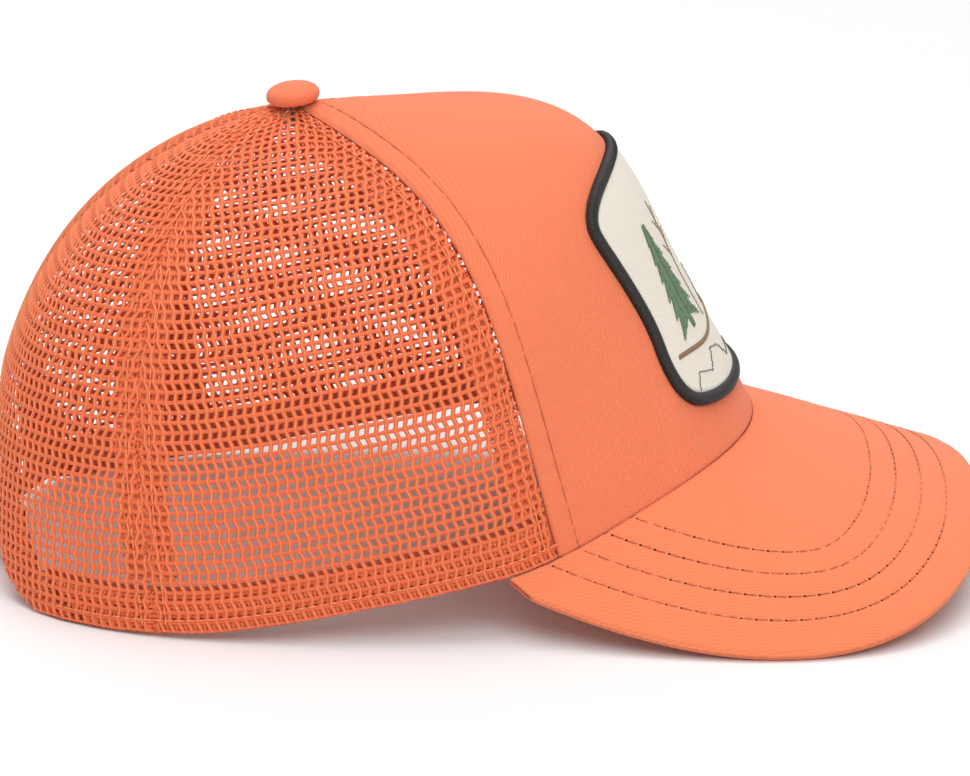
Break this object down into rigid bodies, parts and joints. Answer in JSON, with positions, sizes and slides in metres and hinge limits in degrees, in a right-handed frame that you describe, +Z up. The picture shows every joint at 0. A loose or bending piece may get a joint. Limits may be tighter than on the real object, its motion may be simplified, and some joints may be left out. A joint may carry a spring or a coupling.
{
  "type": "trucker cap",
  "caption": "Trucker cap with a stiffened cloth front and visor, mesh sides and back, a covered top button, a sewn front patch and a snap strap over the rear arch.",
  "frame": {"origin": "middle of the bottom of the cap's box, on the surface that the rear hem and the visor's sides rest on", "axes": "+X the way the visor points, +Y the wearer's left, +Z up"},
  "size_m": [0.275, 0.1822, 0.1337],
  "materials": {
    "front_cloth": "plain-woven cotton, coral",
    "visor_cloth": "plain-woven cotton, coral",
    "mesh": "open warp-knit polyester mesh, coral orange",
    "stiffener": "fused buckram, off-white",
    "sweatband_cloth": "cotton tape, deeper coral",
    "label_cloth": "woven satin, white, blank",
    "visor_board": "moulded polyethylene sheet",
    "button_metal": "pressed sheet",
    "patch_cloth": "woven twill, cream",
    "border_thread": "overlocked rayon thread, near black",
    "green_thread": "satin-stitched thread, fir green",
    "brown_thread": "run-stitched thread, brown",
    "strap_plastic": "moulded polyethylene, coral"
  },
  "bodies": {
    "cap": {"front_panel": "front_cloth", "front_stiffener": "stiffener", "side_mesh_left": "mesh", "side_mesh_right": "mesh", "rear_mesh_left": "mesh", "rear_mesh_right": "mesh", "front_seam_band_left": "mesh", "front_seam_band_right": "mesh", "side_seam_band_left": "mesh", "side_seam_band_right": "mesh", "rear_seam_band": "mesh", "hem_band_left": "mesh", "hem_band_right": "mesh", "arch_binding": "mesh", "sweatband": "sweatband_cloth", "care_label": "label_cloth", "size_label": "label_cloth", "visor_top_cover": "visor_cloth", "visor_board": "visor_board", "visor_under_cover": "visor_cloth", "button_cover": "front_cloth", "button_shell": "button_metal", "button_washer": "button_metal", "patch_base": "patch_cloth", "patch_border": "border_thread", "patch_fir_tree": "green_thread", "patch_hill_line": "brown_thread", "hole_strap_tab": "strap_plastic", "stud_strap_tab": "strap_plastic"},
    "hole_strap": {"hole_strap": "strap_plastic"},
    "stud_strap": {"stud_strap": "strap_plastic"}
  },
  "joints": [
    {"name": "hole_strap_swing", "type": "hinge", "parent": "cap", "child": "hole_strap", "pos_m": [-0.12951, 0.03417, 0.012], "axis": [0, 0, -1], "range_deg": [0, 60]},
    {"name": "stud_strap_swing", "type": "hinge", "parent": "cap", "child": "stud_strap", "pos_m": [-0.12819, -0.0337, 0.012], "axis": [0, 0, -1], "range_deg": [0, 25]}
  ]
}
